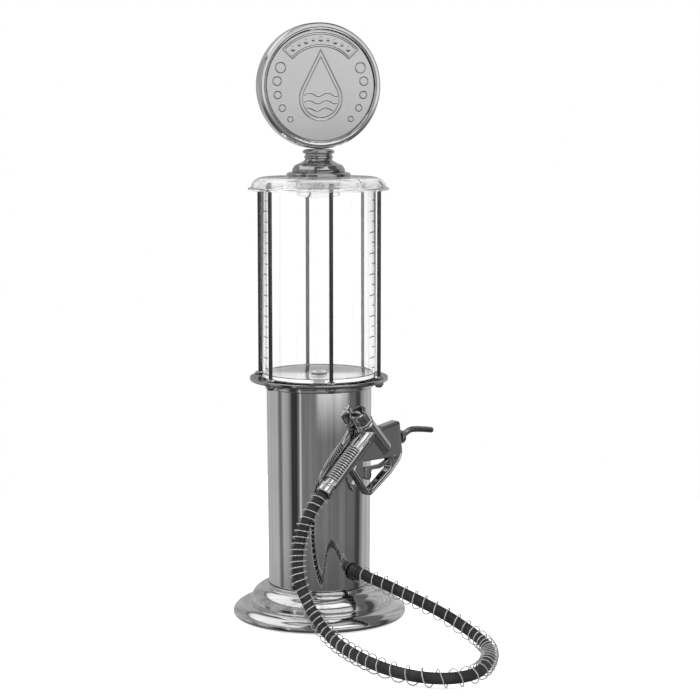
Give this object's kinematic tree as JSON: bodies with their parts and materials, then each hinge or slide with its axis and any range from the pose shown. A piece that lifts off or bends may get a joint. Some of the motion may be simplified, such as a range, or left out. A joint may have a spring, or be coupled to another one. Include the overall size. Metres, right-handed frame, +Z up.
{
  "type": "tabletop drink dispenser",
  "caption": "Chrome tabletop drink dispenser shaped like an old fuel pump, with a clear tank in a rod cage, a round sign on the stopper, and a hose with a trigger nozzle.",
  "frame": {"origin": "centre of the underside of the foot pad, on the surface that the dispenser stands on", "axes": "+Z up along the column's axis; -Y towards the side where the hose leaves the column and the nozzle hangs; +X towards the tip of the hung nozzle's spout"},
  "size_m": [0.1795, 0.3165, 0.4958],
  "materials": {
    "chrome": "bright polished plating with faint waves",
    "steel": "plain drawn or machined steel",
    "spring_wire": "bright drawn wire",
    "embossed": "satin pressed plate",
    "spout_grey": "dark satin",
    "iron": "raw casting",
    "hose_rubber": "matt black",
    "rubber": "matt black",
    "silicone": "milky satin",
    "black_plastic": "moulded",
    "acrylic": "clear polished",
    "clear_plastic": "clear moulded, slightly hazy"
  },
  "bodies": {
    "root": {"foot_pad": "rubber", "base_plate": "steel", "base_weight": "iron", "base_shell": "chrome", "base_screw_1": "steel", "base_screw_2": "steel", "base_screw_3": "steel", "column_tube": "chrome", "column_collar": "chrome", "flange_plate": "chrome", "cage_rod_1": "steel", "cage_rod_2": "steel", "cage_rod_3": "steel", "cage_rod_4": "steel", "cage_rod_5": "steel", "cage_rod_6": "steel", "rod_washer_1": "chrome", "rod_washer_2": "chrome", "rod_washer_3": "chrome", "rod_washer_4": "chrome", "rod_washer_5": "chrome", "rod_washer_6": "chrome", "rod_nut_1": "chrome", "rod_nut_2": "chrome", "rod_nut_3": "chrome", "rod_nut_4": "chrome", "rod_nut_5": "chrome", "rod_nut_6": "chrome", "tank": "acrylic", "tank_gasket": "rubber", "outlet_spigot": "clear_plastic", "outlet_nut": "steel", "drain_tube": "silicone", "hose_gland": "black_plastic", "gland_nut": "steel", "tank_cap": "clear_plastic", "hanger_hook": "chrome", "hanger_screw": "steel", "hose": "hose_rubber", "hose_spring": "spring_wire"},
    "lid": {"finial_pedestal": "chrome", "stopper_plug": "clear_plastic", "stopper_seal": "silicone", "finial_stud": "steel"},
    "sign": {"sign_rim": "chrome", "sign_face_front": "embossed", "sign_face_back": "embossed"},
    "nozzle": {"nozzle_body": "chrome", "grip_sleeve": "chrome", "hose_ferrule": "chrome", "trigger_pin": "steel", "valve_cap": "chrome", "valve_spring": "steel", "spout_collar": "chrome", "spout": "spout_grey", "hanger_clip": "steel"},
    "trigger": {"trigger": "chrome"},
    "valve": {"valve_stem": "steel"}
  },
  "joints": [
    {"name": "lid_lift", "type": "slide", "parent": "root", "child": "lid", "axis": [0, 0, 1], "range_m": [0, 0.04]},
    {"name": "sign_turn", "type": "hinge", "parent": "lid", "child": "sign", "pos_m": [0, 0, 0.4443], "axis": [0, 0, 1], "continuous": true},
    {"name": "nozzle_lift", "type": "slide", "parent": "root", "child": "nozzle", "axis": [0, 0, 1], "range_m": [0, 0.012]},
    {"name": "trigger_squeeze", "type": "hinge", "parent": "nozzle", "child": "trigger", "pos_m": [0.0336, -0.054, 0.1385], "axis": [0, 1, 0], "range_deg": [0, 8], "stiffness_Nm_per_rad": 0.05, "springref_deg": -2.86},
    {"name": "valve_lift", "type": "slide", "parent": "nozzle", "child": "valve", "axis": [-0.6652, 0, 0.7466], "range_m": [0, 0.0007]}
  ],
  "couplings": [
    {"joint": "valve_lift", "follows": "trigger_squeeze", "m_per_rad": 0.0047}
  ]
}
